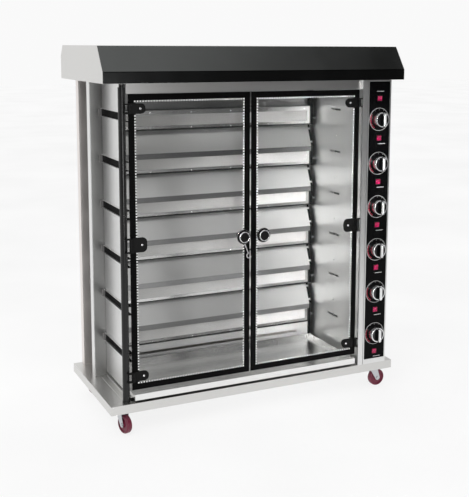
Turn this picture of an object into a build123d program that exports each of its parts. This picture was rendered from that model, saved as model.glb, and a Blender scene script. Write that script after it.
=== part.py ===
"""Six-tier rotisserie oven on castors, with glass doors, spit drives and gas burners.

Millimetres. X runs to the right, -Y is the front and Z is up.
The origin is on the floor, under the middle of the whole outline.
"""
import os
from math import cos, hypot, radians, sin

from build123d import *

os.makedirs("parts", exist_ok=True)

# Base and castors
base_width = 1300.0
base_depth = 560.0
base_height = 36.0
base_sheet = 2.0
base_lip = 110.0
castor_height = 95.0
castor_inset = 62.0
castor_plate_size = 62.0
castor_plate_thickness = 3.0
castor_trail = 22.0
castor_turns = {"front_left": 15.0, "front_right": 90.0, "rear_left": 75.0, "rear_right": 35.0}
king_pin_radius = 5.0
king_pin_nut_radius = 8.0
king_pin_nut_height = 3.5
fork_crown_radius = 22.0
fork_crown_height = 7.0
fork_leg_thickness = 3.0
fork_foot_radius = 11.0
wheel_diameter = 75.0
wheel_width = 24.0
wheel_hub_radius = 14.0
wheel_groove_depth = 3.0
axle_radius = 4.0
axle_head_radius = 6.5

# Cabinet, set out from the spits
tiers = 6
tier_pitch = 190.0
top_spit_below_roof = 140.0
lowest_spit_above_deck = 164.0
spit_from_front = 244.0
panel_sheet = 1.5
back_setback = 40.0
panel_return = 38.0

# Front posts and header
post_diameter = 28.0
post_from_left = 71.0
post_setback = 28.0
post_neck_diameter = 20.0
post_neck_height = 14.0
post_foot_height = 8.0
post_foot_margin = 1.5
right_post_from_right = 153.0
right_post_width = 24.0
right_post_depth = 30.0
header_height = 39.5
header_setback = 18.0

# Doors
glass_setback = 17.0
glass_thickness = 6.0
door_side_gap = 7.0
door_centre_gap = 5.0
door_top_gap = 1.5
door_above_deck = 49.0
door_knob_from_edge = 42.0
door_knob_radius = 22.0
door_knob_depth = 17.0
door_knob_neck_radius = 7.0
door_knob_neck_length = 24.0
door_knob_rose_radius = 13.0
door_knob_rose_thickness = 4.0
door_knob_stem_radius = 5.0
latch_bar_width = 4.0
latch_thickness = 3.0
latch_eye_margin = 3.5
latch_hook_gap = 1.0
latch_rest_angle = 69.0

# Door hinges
hinge_pin_radius = 4.0
hinge_barrel_radius = 7.0
hinge_pin_forward = 8.0
hinge_pin_from_post = 9.5
hinge_ear_thickness = 5.0
hinge_end_inset = 55.0
end_clamp_height = 40.0
middle_clamp_height = 58.0
clamp_length = 66.0
clamp_thickness = 4.0
clamp_screw_radius = 4.0
clamp_screw_from_end = 21.0

# Oven walls
left_wall_from_post = 4.0
left_wall_flange = 12.0
right_wall_from_post = 15.0
wall_foot_gap = 19.0
wing_from_front = 355.0
wing_width = 51.0
spit_slot_height = 30.0
spit_slot_wrap = 9.0
spit_slot_lip = 5.0
spit_slot_rise = 9.0
spit_rest_sheet = 2.0
spit_rest_depth = 16.0
spit_rest_margin = 3.0
drive_slot_length = 92.0
drive_slot_height = 9.0

# Burners and reflectors
burner_above_spit = 2.0
burner_height = 86.0
burner_depth = 45.0
burner_face_from_back = 80.0
burner_frame_width = 19.0
plaque_thickness = 12.0
side_frame_width = 14.0
side_frame_sheet = 2.0
side_frame_set_back = 2.0
side_frame_to_left_wall = 3.0
side_frame_to_right_wall = 8.0
reflector_sheet = 1.2
reflector_back = 34.0
reflector_forward = 8.0
reflector_flange = 8.0
reflector_above_burner = 4.0
lip_height = 23.0
tab_length = 11.0
tab_height = 8.0
lower_panel_set_back = 6.0
lower_slot_height = 12.0
lower_slot_inset = 60.0
zigzag_gap = 17.0

# Control column
post_to_box_gap = 2.0
box_width = 116.0
fascia_border = 6.0
fascia_foot = 21.0
fascia_overlap = 4.0
fascia_thickness = 3.0
control_knob_below_spit = 29.0
control_knob_radius = 33.0
control_knob_depth = 30.0
control_knob_taper = 2.0
control_grip_width = 13.0
control_grip_length = 58.0
control_grip_height = 18.0
control_knob_round = 2.5
control_knob_lift = 0.8
stem_radius = 4.0
stem_depth = 34.0
rocker_below_knob = 80.0
top_rocker_above_knob = 90.0
rocker_width = 20.4
rocker_height = 19.0
rocker_depth = 11.0
rocker_dish = 2.0
rocker_tilt = 7.0
rocker_proud = 2.0
rocker_pin_radius = 1.5
rocker_well = 21.6
bezel_size = 27.0
bezel_thickness = 2.5
switch_body_size = 25.2
switch_body_depth = 24.0
louvre_length = 260.0
louvre_height = 7.0
louvre_pitch = 24.0
louvre_rows = 8

# Spit drives
socket_radius = 15.0
socket_length = 26.0
socket_square = 10.0
socket_square_depth = 18.0
socket_to_wall = 2.0
drive_shaft_radius = 6.0
drive_shaft_length = 34.0
gearbox_size = 70.0
gearbox_depth = 30.0
gearbox_gap = 10.0
motor_radius = 26.0
motor_length = 40.0
pillar_radius = 4.0
pillar_inset = 7.0

# Gas supply
valve_width = 40.0
valve_depth = 52.0
valve_above_stem = 18.0
valve_below_stem = 38.0
valve_collar_radius = 9.0
valve_collar_length = 12.0
feed_pipe_radius = 5.0
feed_pipe_drop = 26.0
feed_pipe_bend = 30.0
manifold_radius = 8.0
manifold_gap = 7.0
manifold_tail = 60.0
manifold_boss_radius = 7.0
inlet_radius = 10.5
inlet_length = 30.0

# Drip tray
tray_side_gap = 14.0
tray_above_deck = 10.3
tray_height = 24.0
tray_depth = 408.0
tray_ledge = 22.0
tray_wall_drop = 4.0
tray_front_setback = 1.0
runner_height = 10.0
runner_foot = 24.0
runner_shelf = 34.0
runner_outset = 13.0

# Canopy
canopy_side_overhang = 16.0
canopy_front_overhang = 20.0
canopy_rear_overhang = 24.0
canopy_band = 43.0
canopy_slope_rise = 96.0
canopy_slope_run = 67.0
canopy_rear_drop = 44.0
canopy_rear_run = 32.0
canopy_sheet = 2.0
canopy_seat = 15.0

# Clearances
running_gap = 0.05
end_play = 0.5
free_gap = 1.5
hole_margin = 2.0

# Levels
deck = castor_height + base_height
roof = deck + lowest_spit_above_deck + (tiers - 1) * tier_pitch + top_spit_below_roof
wall_top = roof - panel_sheet
wall_foot = deck + wall_foot_gap
spit_levels = [roof - top_spit_below_roof - tier_pitch * tier for tier in range(tiers)]
burner_tops = [level + burner_above_spit for level in spit_levels]
knob_levels = [level - control_knob_below_spit for level in spit_levels]
rocker_levels = [knob_levels[0] + top_rocker_above_knob]
rocker_levels += [level - rocker_below_knob for level in knob_levels]
header_foot = roof - header_height
door_top = header_foot - door_top_gap
door_foot = deck + door_above_deck
door_middle = (door_top + door_foot) / 2

# Depths
knob_reach = control_knob_lift + control_knob_depth + control_grip_height - panel_sheet
front = -(base_depth + canopy_rear_overhang - knob_reach) / 2
rear = front + base_depth
base_y = (front + rear) / 2
back = rear - back_setback
spit_y = front + spit_from_front
glass_front = front + glass_setback
glass_back = glass_front + glass_thickness
post_y = front + post_setback
header_front = front + header_setback
hinge_y = glass_front - hinge_pin_forward
wing_y = front + wing_from_front
burner_face = back - burner_face_from_back
wall_front = post_y + post_diameter / 2 + hole_margin
header_back = wall_front - hole_margin
right_post_back = front + right_post_depth

# Widths
post_x = -base_width / 2 + post_from_left
right_post_right = base_width / 2 - right_post_from_right
opening_left = post_x + post_diameter / 2
opening_right = right_post_right - right_post_width
door_width = (opening_right - opening_left - 2 * door_side_gap - door_centre_gap) / 2
left_door_left = opening_left + door_side_gap
right_door_right = opening_right - door_side_gap
left_wall_outer = opening_left + left_wall_from_post
left_wall_inner = left_wall_outer + panel_sheet
wing_left = left_wall_outer - wing_width
right_wall_inner = opening_right + right_wall_from_post
right_wall_outer = right_wall_inner + panel_sheet
burner_left = left_wall_inner + side_frame_to_left_wall + side_frame_width
burner_right = right_wall_inner - side_frame_to_right_wall - side_frame_width
burner_length = burner_right - burner_left
burner_x = (burner_left + burner_right) / 2
box_left = right_post_right + post_to_box_gap
box_right = box_left + box_width
box_x = (box_left + box_right) / 2
tray_left = opening_left + tray_side_gap
tray_right = opening_right - tray_side_gap


def save(piece, name):
    """Label a finished piece and write it to a file of its own name."""
    piece.label = name
    export_step(piece, f"parts/{name}.step")


def middle(span):
    """Midpoint of a (low, high) pair."""
    return (span[0] + span[1]) / 2


def block(x_span, y_span, z_span, mode=Mode.ADD):
    """Add or cut a box given by its low and high coordinates."""
    with Locations((middle(x_span), middle(y_span), middle(z_span))):
        Box(x_span[1] - x_span[0], y_span[1] - y_span[0], z_span[1] - z_span[0], mode=mode)


def facing_front(x, y, z):
    """Plane at a point whose normal points out of the front."""
    return Plane(origin=(x, y, z), x_dir=(1, 0, 0), z_dir=(0, -1, 0))


def seen_from_right(x):
    """Plane across the oven at x, with Y to the right and Z up."""
    return Plane(origin=(x, 0, 0), x_dir=(0, 1, 0), z_dir=(1, 0, 0))


# Base: deck, skirt and lips folded from one sheet, open underneath between the lips
with BuildPart() as base_frame:
    with BuildSketch(Plane.XY.offset(castor_height)):
        with Locations((0, base_y)):
            Rectangle(base_width, base_depth)
    extrude(amount=base_height)
    with BuildSketch(Plane.XY.offset(castor_height + base_sheet)):
        with Locations((0, base_y)):
            Rectangle(base_width - 2 * base_sheet, base_depth - 2 * base_sheet)
    extrude(amount=base_height - 2 * base_sheet, mode=Mode.SUBTRACT)
    with BuildSketch(Plane.XY.offset(castor_height)):
        with Locations((0, base_y)):
            Rectangle(base_width - 2 * base_lip, base_depth - 2 * base_lip)
    extrude(amount=base_sheet, mode=Mode.SUBTRACT)
save(base_frame.part, "base_frame")

# Castors: fixed plates with king pins, swivelling forks and wheels
castor_x = base_width / 2 - castor_inset
castor_spots = {
    "front_left": (-castor_x, front + castor_inset),
    "front_right": (castor_x, front + castor_inset),
    "rear_left": (-castor_x, rear - castor_inset),
    "rear_right": (castor_x, rear - castor_inset),
}
plate_foot = castor_height - castor_plate_thickness
crown_top = plate_foot - end_play
crown_foot = crown_top - fork_crown_height
wheel_radius = wheel_diameter / 2
leg_inner = wheel_width / 2 + free_gap
leg_outer = leg_inner + fork_leg_thickness

with BuildPart() as castor_plates:
    with BuildSketch(Plane.XY.offset(plate_foot)):
        with Locations(*castor_spots.values()):
            RectangleRounded(castor_plate_size, castor_plate_size, castor_plate_size / 10)
    extrude(amount=castor_plate_thickness)
    with BuildSketch(Plane.XY.offset(crown_foot - end_play - king_pin_nut_height)):
        with Locations(*castor_spots.values()):
            Circle(king_pin_radius)
    extrude(amount=plate_foot - crown_foot + end_play + king_pin_nut_height)
    with BuildSketch(Plane.XY.offset(crown_foot - end_play - king_pin_nut_height)):
        with Locations(*castor_spots.values()):
            Circle(king_pin_nut_radius)
    extrude(amount=king_pin_nut_height)
save(castor_plates.part, "castor_plates")

with BuildPart() as castor_fork:
    with BuildSketch(Plane.XY.offset(crown_foot)):
        Circle(fork_crown_radius)
    extrude(amount=fork_crown_height)
    with BuildSketch(Plane.XY.offset(crown_foot)):
        Rectangle(2 * leg_outer, 2 * (fork_crown_radius - fork_leg_thickness))
    extrude(amount=fork_leg_thickness)
    with BuildSketch(seen_from_right(-leg_outer)):
        with Locations((0, crown_foot + fork_leg_thickness / 2)):
            Rectangle(2 * (fork_crown_radius - fork_leg_thickness), fork_leg_thickness)
        with Locations((-castor_trail, wheel_radius)):
            Circle(fork_foot_radius)
        make_hull()
    extrude(amount=2 * leg_outer)
    with BuildSketch(seen_from_right(-leg_inner)):
        with Locations((-castor_trail / 2, crown_foot / 2)):
            Rectangle(4 * fork_crown_radius + castor_trail, crown_foot)
    extrude(amount=2 * leg_inner, mode=Mode.SUBTRACT)
    with BuildSketch(seen_from_right(-leg_outer)):
        with Locations((-castor_trail, wheel_radius)):
            Circle(axle_radius)
    extrude(amount=2 * leg_outer)
    with BuildSketch(seen_from_right(-leg_outer - fork_leg_thickness)):
        with Locations((-castor_trail, wheel_radius)):
            Circle(axle_head_radius)
    extrude(amount=fork_leg_thickness)
    with BuildSketch(seen_from_right(leg_outer)):
        with Locations((-castor_trail, wheel_radius)):
            Circle(axle_head_radius)
    extrude(amount=fork_leg_thickness)
    with BuildSketch(Plane.XY.offset(crown_foot)):
        Circle(king_pin_radius + running_gap)
    extrude(amount=fork_crown_height, mode=Mode.SUBTRACT)

with BuildPart() as castor_wheel:
    with BuildSketch(seen_from_right(-wheel_width / 2)):
        with Locations((-castor_trail, wheel_radius)):
            Circle(wheel_radius)
    extrude(amount=wheel_width)
    fillet(castor_wheel.edges().filter_by(GeomType.CIRCLE), wheel_width / 4)
    for side, outward in ((-wheel_width / 2, 1), (wheel_width / 2, -1)):
        with BuildSketch(seen_from_right(side)):
            with Locations((-castor_trail, wheel_radius)):
                Circle(wheel_radius - wheel_width / 3)
                Circle(wheel_hub_radius, mode=Mode.SUBTRACT)
        extrude(amount=outward * wheel_groove_depth, mode=Mode.SUBTRACT)
    with BuildSketch(seen_from_right(-leg_inner + end_play)):
        with Locations((-castor_trail, wheel_radius)):
            Circle(wheel_hub_radius - wheel_groove_depth)
    extrude(amount=2 * (leg_inner - end_play))
    with BuildSketch(seen_from_right(-leg_inner)):
        with Locations((-castor_trail, wheel_radius)):
            Circle(axle_radius + running_gap)
    extrude(amount=2 * leg_inner, mode=Mode.SUBTRACT)

for corner, spot in castor_spots.items():
    placed = Location((spot[0], spot[1], 0), (0, 0, castor_turns[corner]))
    with BuildPart() as fork:
        with Locations(placed):
            add(castor_fork.part)
    save(fork.part, f"{corner}_castor_fork")
    with BuildPart() as wheel:
        with Locations(placed):
            add(castor_wheel.part)
    save(wheel.part, f"{corner}_castor_wheel")

# Left wall: slotted sheet with a wing bent outwards, a return, and slots that wrap on to the wing
wall_line = left_wall_outer + panel_sheet / 2
wing_line = wing_left + panel_sheet / 2
wing_face = wing_y - panel_sheet / 2
slot_middles = [level + spit_slot_rise for level in spit_levels]
with BuildPart() as left_wall:
    with BuildSketch(Plane.XY.offset(wall_foot)):
        with BuildLine():
            Polyline(
                (left_wall_outer - left_wall_flange, wall_front + panel_sheet / 2),
                (wall_line, wall_front + panel_sheet / 2),
                (wall_line, burner_face),
            )
        trace(line_width=panel_sheet)
    extrude(amount=wall_top - wall_foot)
    with BuildSketch(Plane.XY.offset(deck)):
        with BuildLine():
            Polyline((wall_line, wing_y), (wing_line, wing_y), (wing_line, wing_y + panel_return))
        trace(line_width=panel_sheet)
    extrude(amount=wall_top - deck)
    with BuildSketch(seen_from_right(left_wall_outer - spit_slot_lip)):
        with Locations(*[(middle((wall_front, wing_face)), level) for level in slot_middles]):
            Rectangle(wing_face - wall_front, spit_slot_height + 2 * panel_sheet)
    extrude(amount=spit_slot_lip)
    slot_back = wing_y + panel_sheet / 2
    slot_front = wall_front - hole_margin
    with BuildSketch(seen_from_right(left_wall_outer - left_wall_flange - hole_margin)):
        with Locations(*[(middle((slot_front, slot_back)), level) for level in slot_middles]):
            Rectangle(slot_back - slot_front, spit_slot_height)
    extrude(amount=left_wall_flange + panel_sheet + 2 * hole_margin, mode=Mode.SUBTRACT)
    wrap_length = spit_slot_wrap + spit_slot_height
    wrap_x = left_wall_outer - spit_slot_wrap + wrap_length / 2
    with BuildSketch(facing_front(0, slot_back, 0)):
        with Locations(*[(wrap_x, level) for level in slot_middles]):
            SlotOverall(wrap_length, spit_slot_height)
    extrude(amount=panel_sheet, mode=Mode.SUBTRACT)
save(left_wall.part, "left_wall")

# Spit rests: channels behind the slots, open to the oven, that carry the plain ends of the spits
rest_front = wall_front + spit_rest_margin
rest_back = slot_back + spit_rest_margin
rest_half = spit_slot_height / 2 + spit_rest_margin - spit_rest_sheet / 2
rest_web = left_wall_inner + spit_rest_sheet / 2
with BuildPart() as spit_rests:
    for level in slot_middles:
        with BuildSketch(facing_front(0, rest_back, 0)):
            with BuildLine():
                Polyline(
                    (left_wall_inner + spit_rest_depth, level + rest_half),
                    (rest_web, level + rest_half),
                    (rest_web, level - rest_half),
                    (left_wall_inner + spit_rest_depth, level - rest_half),
                )
            trace(line_width=spit_rest_sheet)
        extrude(amount=rest_back - rest_front)
save(spit_rests.part, "spit_rests")


def tier_edge(ahead):
    """Side view of the burner and reflector faces from the top down, moved forward by ahead."""
    points = []
    for tier, top in enumerate(burner_tops):
        points.append((burner_face - ahead, top))
        points.append((burner_face - ahead, top - burner_height))
        if tier < tiers - 1:
            slope_end = top - tier_pitch + reflector_above_burner
            points.append((burner_face + reflector_back - ahead, top - burner_height))
            points.append((burner_face - reflector_forward - ahead, slope_end))
            points.append((burner_face - ahead, slope_end))
    return points


# Right wall: its rear edge follows the tiers, with one slot to each spit drive
with BuildPart() as right_wall:
    with BuildSketch(seen_from_right(right_wall_inner)):
        with BuildLine():
            Polyline(
                (right_post_back, wall_foot),
                (right_post_back, wall_top),
                (burner_face - zigzag_gap, wall_top),
                *tier_edge(zigzag_gap),
                (burner_face - zigzag_gap, wall_foot),
                close=True,
            )
        make_face()
        with Locations(*[(spit_y, level) for level in spit_levels]):
            SlotOverall(drive_slot_length, drive_slot_height, mode=Mode.SUBTRACT)
    extrude(amount=panel_sheet)
save(right_wall.part, "right_wall")

# Back panel with a return at each side
with BuildPart() as back_panel:
    with BuildSketch(Plane.XY.offset(deck)):
        with BuildLine():
            Polyline(
                (wing_line, back + panel_return),
                (wing_line, back + panel_sheet / 2),
                (right_post_right - panel_sheet / 2, back + panel_sheet / 2),
                (right_post_right - panel_sheet / 2, back + panel_return),
            )
        trace(line_width=panel_sheet)
    extrude(amount=wall_top - deck)
save(back_panel.part, "back_panel")

# Ceiling over the walls, posts and control column
ceiling_front = front + hole_margin
ceiling_back = back + panel_sheet
with BuildPart() as ceiling_panel:
    block((wing_left, box_right), (ceiling_front, ceiling_back), (wall_top, roof))
save(ceiling_panel.part, "ceiling_panel")

# Header rail above the doors
with BuildPart() as header_rail:
    with BuildSketch(seen_from_right(opening_left)):
        with BuildLine():
            Polyline(
                (header_back, header_foot + panel_sheet / 2),
                (header_front + panel_sheet / 2, header_foot + panel_sheet / 2),
                (header_front + panel_sheet / 2, wall_top - panel_sheet / 2),
                (header_back, wall_top - panel_sheet / 2),
            )
        trace(line_width=panel_sheet)
    extrude(amount=opening_right - opening_left)
save(header_rail.part, "header_rail")

# Round front left post with a bush at the foot and a neck at the top
with BuildPart() as front_left_post:
    with BuildSketch(Plane.XY.offset(deck)):
        with Locations((post_x, post_y)):
            Circle(post_diameter / 2)
    extrude(amount=wall_top - deck - post_neck_height)
    with BuildSketch(Plane.XY.offset(wall_top - post_neck_height)):
        with Locations((post_x, post_y)):
            Circle(post_neck_diameter / 2)
    extrude(amount=post_neck_height)
    with BuildSketch(Plane.XY.offset(deck)):
        with Locations((post_x, post_y)):
            Circle(post_diameter / 2 + post_foot_margin)
    extrude(amount=post_foot_height)
save(front_left_post.part, "front_left_post")

# Right post, a folded channel that is open at the rear
with BuildPart() as right_post:
    with BuildSketch(Plane.XY.offset(deck)):
        with BuildLine():
            Polyline(
                (opening_right + panel_sheet / 2, right_post_back),
                (opening_right + panel_sheet / 2, front + panel_sheet / 2),
                (right_post_right - panel_sheet / 2, front + panel_sheet / 2),
                (right_post_right - panel_sheet / 2, right_post_back),
            )
        trace(line_width=panel_sheet)
    extrude(amount=wall_top - deck)
save(right_post.part, "right_post")

# Burner housings: folded boxes with a frame round the open front and a feed hole at the right
feed_levels = [level - feed_pipe_drop for level in knob_levels]
feed_y = burner_face + burner_depth / 2
burner_spots = [(burner_x, burner_face + burner_depth / 2, top - burner_height / 2) for top in burner_tops]
feed_spots = [(burner_right, feed_y, level) for level in feed_levels]
window_length = burner_length - 2 * burner_frame_width
window_height = burner_height - 2 * burner_frame_width
with BuildPart() as burner_housings:
    with Locations(*burner_spots):
        Box(burner_length, burner_depth, burner_height)
        Box(
            burner_length - 2 * panel_sheet,
            burner_depth - 2 * panel_sheet,
            burner_height - 2 * panel_sheet,
            mode=Mode.SUBTRACT,
        )
    with Locations(*[(x, burner_face, z) for x, y, z in burner_spots]):
        Box(window_length, 3 * panel_sheet, window_height, mode=Mode.SUBTRACT)
    with Locations(*feed_spots):
        Cylinder(feed_pipe_radius + end_play, 4 * panel_sheet, rotation=(0, 90, 0), mode=Mode.SUBTRACT)
save(burner_housings.part, "burner_housings")

# Ceramic burner plaques, seated behind the frames
plaque_y = burner_face + panel_sheet + plaque_thickness / 2
plaque_margin = burner_frame_width / 2
with BuildPart() as burner_plaques:
    with Locations(*[(x, plaque_y, z) for x, y, z in burner_spots]):
        Box(burner_length - 2 * plaque_margin, plaque_thickness, burner_height - 2 * plaque_margin)
save(burner_plaques.part, "burner_plaques")

# Reflectors: a sloped sheet with a lip and two tabs below each burner but the last, a folded sheet
# above the top burner, and a slotted panel below the lowest
half_reflector = reflector_sheet / 2
lower_top = burner_tops[-1] - burner_height
lower_y = burner_face + lower_panel_set_back
with BuildPart() as reflectors:
    for top in burner_tops[:-1]:
        foot = top - burner_height
        slope_top = (burner_face + reflector_back, foot - half_reflector)
        slope_foot = (burner_face - reflector_forward, top - tier_pitch + reflector_above_burner)
        with BuildSketch(seen_from_right(burner_left)):
            with BuildLine():
                Polyline(
                    (slope_top[0] + reflector_flange, slope_top[1]),
                    slope_top,
                    slope_foot,
                    (slope_foot[0], slope_foot[1] - lip_height),
                )
            trace(line_width=reflector_sheet)
        extrude(amount=burner_length)
        run = slope_foot[0] - slope_top[0]
        fall = slope_foot[1] - slope_top[1]
        slope_length = hypot(run, fall)
        for share in (0.2, 0.8):
            tab_plane = Plane(
                origin=(burner_right, slope_top[0] + share * run, slope_top[1] + share * fall),
                x_dir=(0, run / slope_length, fall / slope_length),
                z_dir=(1, 0, 0),
            )
            with BuildSketch(tab_plane):
                Rectangle(tab_height, reflector_sheet)
            extrude(amount=tab_length)
    with BuildSketch(seen_from_right(burner_left)):
        with BuildLine():
            Polyline(
                (burner_face + reflector_back, wall_top),
                (burner_face + reflector_back, burner_tops[0] + half_reflector),
                (burner_face + reflector_forward, burner_tops[0] + half_reflector),
            )
        trace(line_width=reflector_sheet)
    extrude(amount=burner_length)
    with BuildSketch(seen_from_right(burner_left)):
        with BuildLine():
            Polyline(
                (lower_y + reflector_back, lower_top - half_reflector),
                (lower_y, lower_top - half_reflector),
                (lower_y, deck + half_reflector),
                (lower_y + reflector_back, deck + half_reflector),
            )
        trace(line_width=reflector_sheet)
    extrude(amount=burner_length)
    with BuildSketch(facing_front(burner_x, lower_y + reflector_sheet, middle((lower_top, deck)))):
        SlotOverall(burner_length - 2 * lower_slot_inset, lower_slot_height)
    extrude(amount=2 * reflector_sheet, mode=Mode.SUBTRACT)
save(reflectors.part, "reflectors")

# Side frames: channels with a stepped front edge that carry the burners and reflectors
side_frame_front = burner_face + side_frame_set_back
side_frame_outline = [
    (back, deck),
    (back, wall_top),
    (side_frame_front, wall_top),
    *tier_edge(-side_frame_set_back),
    (side_frame_front, deck),
]
with BuildPart() as side_frames:
    for inner, outward in ((burner_left, -1), (burner_right, 1)):
        with BuildSketch(seen_from_right(inner)):
            with BuildLine():
                Polyline(*side_frame_outline, close=True)
            make_face()
        extrude(amount=outward * side_frame_width)
        with BuildSketch(seen_from_right(inner + outward * side_frame_width)):
            with BuildLine():
                Polyline(*side_frame_outline, close=True)
            make_face()
            offset(amount=-side_frame_sheet, kind=Kind.INTERSECTION, mode=Mode.REPLACE)
        extrude(amount=-outward * (side_frame_width - side_frame_sheet), mode=Mode.SUBTRACT)
    with Locations(*feed_spots):
        Cylinder(feed_pipe_radius + end_play, 4 * side_frame_width, rotation=(0, 90, 0), mode=Mode.SUBTRACT)
save(side_frames.part, "side_frames")

# Control column: folded box with a framed window, drive and pipe holes, and louvres at the right
fascia_span = (deck + fascia_foot, wall_top - fascia_border)
socket_hole = socket_radius + hole_margin
louvre_middle = middle((front, back))
inlet_level = spit_levels[-1] - control_knob_below_spit - manifold_tail
manifold_x = box_x + valve_width / 2 + manifold_gap + manifold_radius
valve_front = front + panel_sheet + fascia_thickness + valve_collar_length
manifold_y = valve_front + valve_depth / 2
with BuildPart() as control_box:
    with BuildSketch(Plane.XY.offset(deck)):
        with Locations((box_x, middle((front, back)))):
            Rectangle(box_width, back - front)
            Rectangle(box_width - 2 * panel_sheet, back - front - 2 * panel_sheet, mode=Mode.SUBTRACT)
    extrude(amount=wall_top - deck)
    window_x = (box_left + fascia_border, box_right - fascia_border)
    block(window_x, (front - hole_margin, front + panel_sheet), fascia_span, mode=Mode.SUBTRACT)
    with BuildSketch(seen_from_right(box_left)):
        with Locations(*[(spit_y, level) for level in spit_levels]):
            Circle(socket_hole)
        with Locations(*[(feed_y, level) for level in feed_levels]):
            Circle(feed_pipe_radius + end_play)
    extrude(amount=panel_sheet, mode=Mode.SUBTRACT)
    with BuildSketch(seen_from_right(box_right - panel_sheet)):
        for end in (deck + louvre_rows * louvre_pitch, wall_top - louvre_rows * louvre_pitch):
            with Locations((louvre_middle, end)):
                with GridLocations(0, louvre_pitch, 1, louvre_rows):
                    SlotOverall(louvre_length, louvre_height)
    extrude(amount=panel_sheet, mode=Mode.SUBTRACT)
    with BuildSketch(facing_front(manifold_x, back, inlet_level)):
        Circle(manifold_radius + end_play)
    extrude(amount=panel_sheet, mode=Mode.SUBTRACT)
save(control_box.part, "control_box")

# Fascia behind the window, drilled for the knobs and cut out for the switches
fascia_front = front + panel_sheet
fascia_back = fascia_front + fascia_thickness
fascia_height = fascia_span[1] - fascia_span[0]
fascia_width = box_width - 2 * fascia_border
with BuildPart() as control_fascia:
    with BuildSketch(facing_front(0, fascia_back, 0)):
        with Locations((box_x, middle(fascia_span))):
            Rectangle(fascia_width + 2 * fascia_overlap, fascia_height + 2 * fascia_overlap)
        with Locations(*[(box_x, level) for level in knob_levels]):
            Circle(stem_radius + hole_margin, mode=Mode.SUBTRACT)
        with Locations(*[(box_x, level) for level in rocker_levels]):
            Rectangle(switch_body_size, switch_body_size, mode=Mode.SUBTRACT)
    extrude(amount=fascia_thickness)
save(control_fascia.part, "control_fascia")

# Control knobs, each with a grip bar and a stem that turns in its valve
knob_back = fascia_front - control_knob_lift
for number, level in enumerate(knob_levels, start=1):
    with BuildPart() as control_knob:
        with BuildSketch(facing_front(box_x, knob_back, level)):
            Circle(control_knob_radius)
        extrude(amount=control_knob_depth, taper=control_knob_taper)
        front_face = control_knob.faces().sort_by(Axis.Y)[0]
        fillet(front_face.edges(), control_knob_round)
        with BuildSketch(facing_front(box_x, knob_back - control_knob_depth, level)):
            SlotOverall(control_grip_length, control_grip_width, rotation=90)
        extrude(amount=control_grip_height)
        grip_face = control_knob.faces().sort_by(Axis.Y)[0]
        fillet(grip_face.edges(), control_knob_round)
        with BuildSketch(facing_front(box_x, knob_back, level)):
            Circle(stem_radius)
        extrude(amount=-stem_depth)
    save(control_knob.part, f"control_knob_{number}")

# Switch bodies: snap-in cups with a flange in front of the fascia and a pivot hole at each side
pivot_y = fascia_front - bezel_thickness - rocker_proud + rocker_depth / 2
with BuildPart() as switch_bodies:
    with BuildSketch(facing_front(0, fascia_front, 0)):
        with Locations(*[(box_x, level) for level in rocker_levels]):
            RectangleRounded(bezel_size, bezel_size, hole_margin)
    extrude(amount=bezel_thickness)
    with BuildSketch(facing_front(0, fascia_front, 0)):
        with Locations(*[(box_x, level) for level in rocker_levels]):
            Rectangle(switch_body_size - end_play, switch_body_size - end_play)
    extrude(amount=-switch_body_depth)
    with BuildSketch(facing_front(0, fascia_front - bezel_thickness, 0)):
        with Locations(*[(box_x, level) for level in rocker_levels]):
            Rectangle(rocker_well, rocker_well)
    extrude(amount=-(bezel_thickness + switch_body_depth - panel_sheet), mode=Mode.SUBTRACT)
    with Locations(*[(box_x, pivot_y, level) for level in rocker_levels]):
        Cylinder(
            rocker_pin_radius + running_gap,
            switch_body_size - 2 * end_play,
            rotation=(0, 90, 0),
            mode=Mode.SUBTRACT,
        )
save(switch_bodies.part, "switch_bodies")

# Rockers, tipped to their off position
for number, level in enumerate(rocker_levels, start=1):
    pivot = Plane(
        origin=(box_x, pivot_y, level),
        x_dir=(0, cos(radians(rocker_tilt)), sin(radians(rocker_tilt))),
        z_dir=(1, 0, 0),
    )
    with BuildPart() as rocker:
        with BuildSketch(pivot.offset(-rocker_width / 2)):
            with BuildLine():
                Polyline(
                    (rocker_depth / 2, -rocker_height / 2),
                    (rocker_depth / 2, rocker_height / 2),
                    (-rocker_depth / 2, rocker_height / 2),
                    (rocker_dish - rocker_depth / 2, 0),
                    (-rocker_depth / 2, -rocker_height / 2),
                    close=True,
                )
            make_face()
        extrude(amount=rocker_width)
        with BuildSketch(pivot.offset(-rocker_well / 2 - end_play)):
            Circle(rocker_pin_radius)
        extrude(amount=rocker_well + 2 * end_play)
    save(rocker.part, f"rocker_{number}")

# Gas valves: body, collar against the fascia and a blind bore for the knob's stem
valve_spots = [(box_x, level) for level in knob_levels]
valve_height = valve_above_stem + valve_below_stem
valve_rise = (valve_above_stem - valve_below_stem) / 2
with BuildPart() as gas_valves:
    with BuildSketch(facing_front(0, valve_front + valve_depth, 0)):
        with Locations(*[(x, z + valve_rise) for x, z in valve_spots]):
            RectangleRounded(valve_width, valve_height, valve_width / 8)
    extrude(amount=valve_depth)
    with BuildSketch(facing_front(0, valve_front, 0)):
        with Locations(*valve_spots):
            Circle(valve_collar_radius)
    extrude(amount=valve_collar_length)
    bore_end = knob_back + stem_depth + end_play
    with BuildSketch(facing_front(0, bore_end, 0)):
        with Locations(*valve_spots):
            Circle(stem_radius + running_gap)
    extrude(amount=bore_end - fascia_back, mode=Mode.SUBTRACT)
save(gas_valves.part, "gas_valves")

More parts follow.
